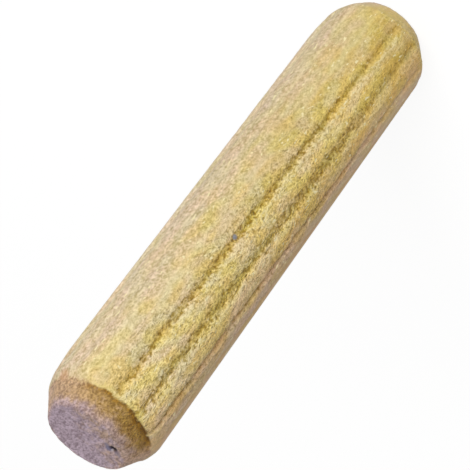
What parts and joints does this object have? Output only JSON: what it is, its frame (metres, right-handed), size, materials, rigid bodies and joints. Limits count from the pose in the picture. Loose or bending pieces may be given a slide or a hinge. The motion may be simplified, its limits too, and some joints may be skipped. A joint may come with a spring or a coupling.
{
  "type": "dowel pin",
  "caption": "Straight wooden dowel pin with lengthwise pressed flutes and a rounded bevel at each end, for joining two boards by glue in drilled holes.",
  "frame": {"origin": "centre of the lower flat end, on the pin's axis; the pin stands on that end", "axes": "+Z along the pin's axis, up towards the other flat end; +X through the middle of one flute"},
  "size_m": [0.008, 0.008, 0.0381],
  "materials": {
    "wood": "matte"
  },
  "bodies": {
    "root": {"dowel_pin": "wood"}
  },
  "joints": []
}
